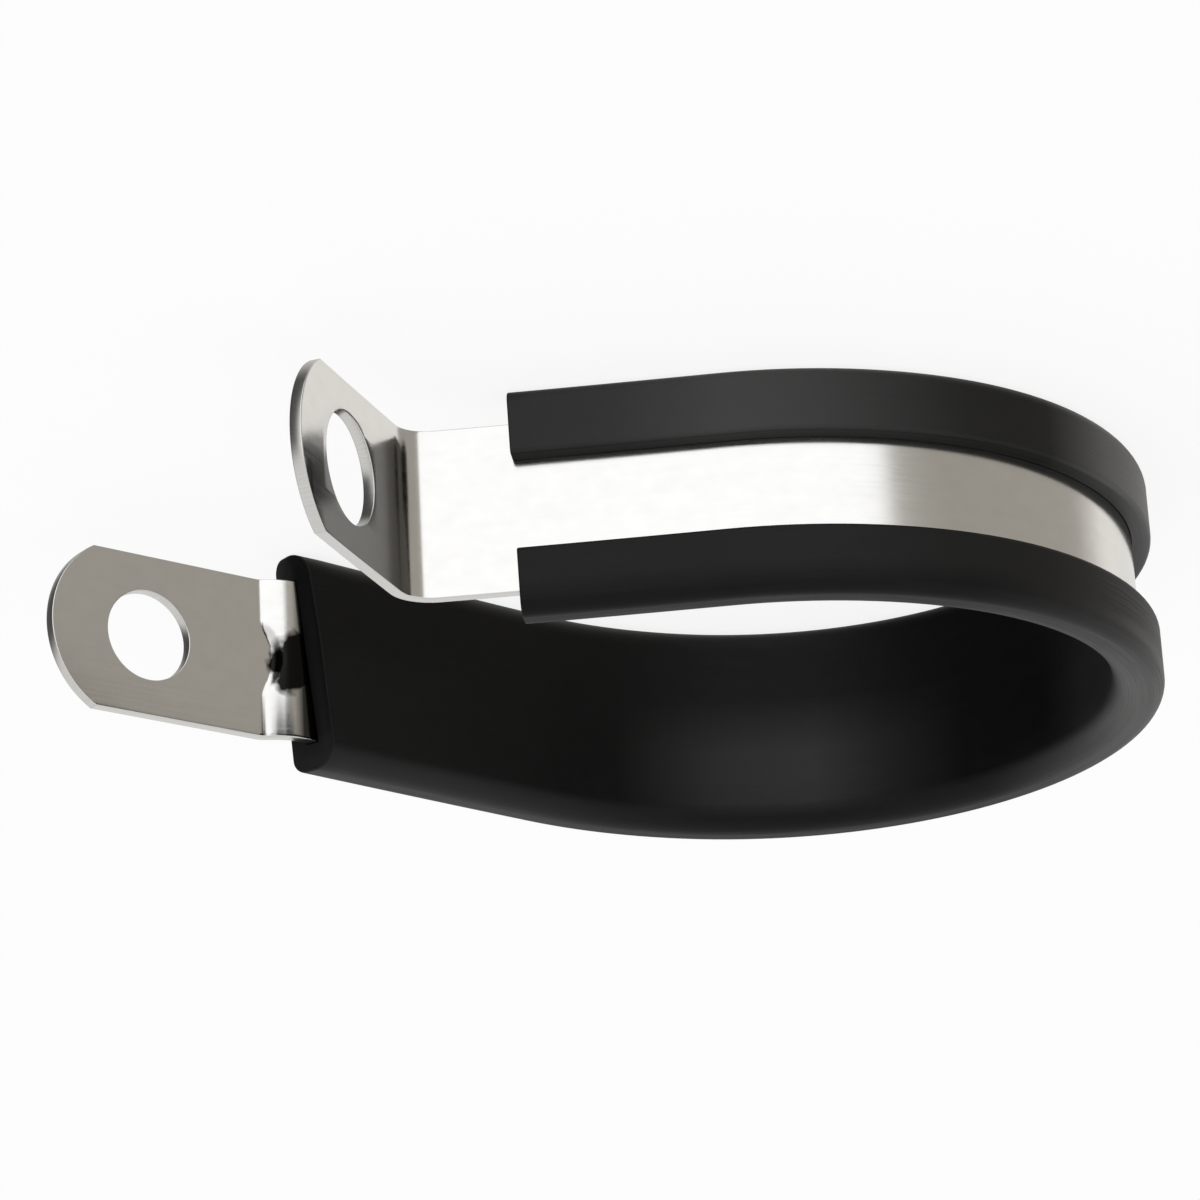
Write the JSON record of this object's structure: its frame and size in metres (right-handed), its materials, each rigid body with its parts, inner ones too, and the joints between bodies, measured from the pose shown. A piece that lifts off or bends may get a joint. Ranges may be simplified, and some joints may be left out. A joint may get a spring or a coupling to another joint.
{
  "type": "rubber lined pipe clip",
  "caption": "P-shaped pipe clip: one folded stainless strip with a drilled tab at each end, lined with a black rubber channel, standing open before it is closed.",
  "frame": {"origin": "on the axis of the round pipe seat, half way across the strip", "axes": "+Z along the pipe, +Y square to the flat far tab and away from the pipe, +X out of the clip's mouth towards the tabs"},
  "size_m": [0.082, 0.058, 0.0174],
  "materials": {
    "strip_metal": "satin",
    "lining_rubber": "matt"
  },
  "bodies": {
    "root": {"band": "strip_metal", "liner": "lining_rubber"}
  },
  "joints": []
}
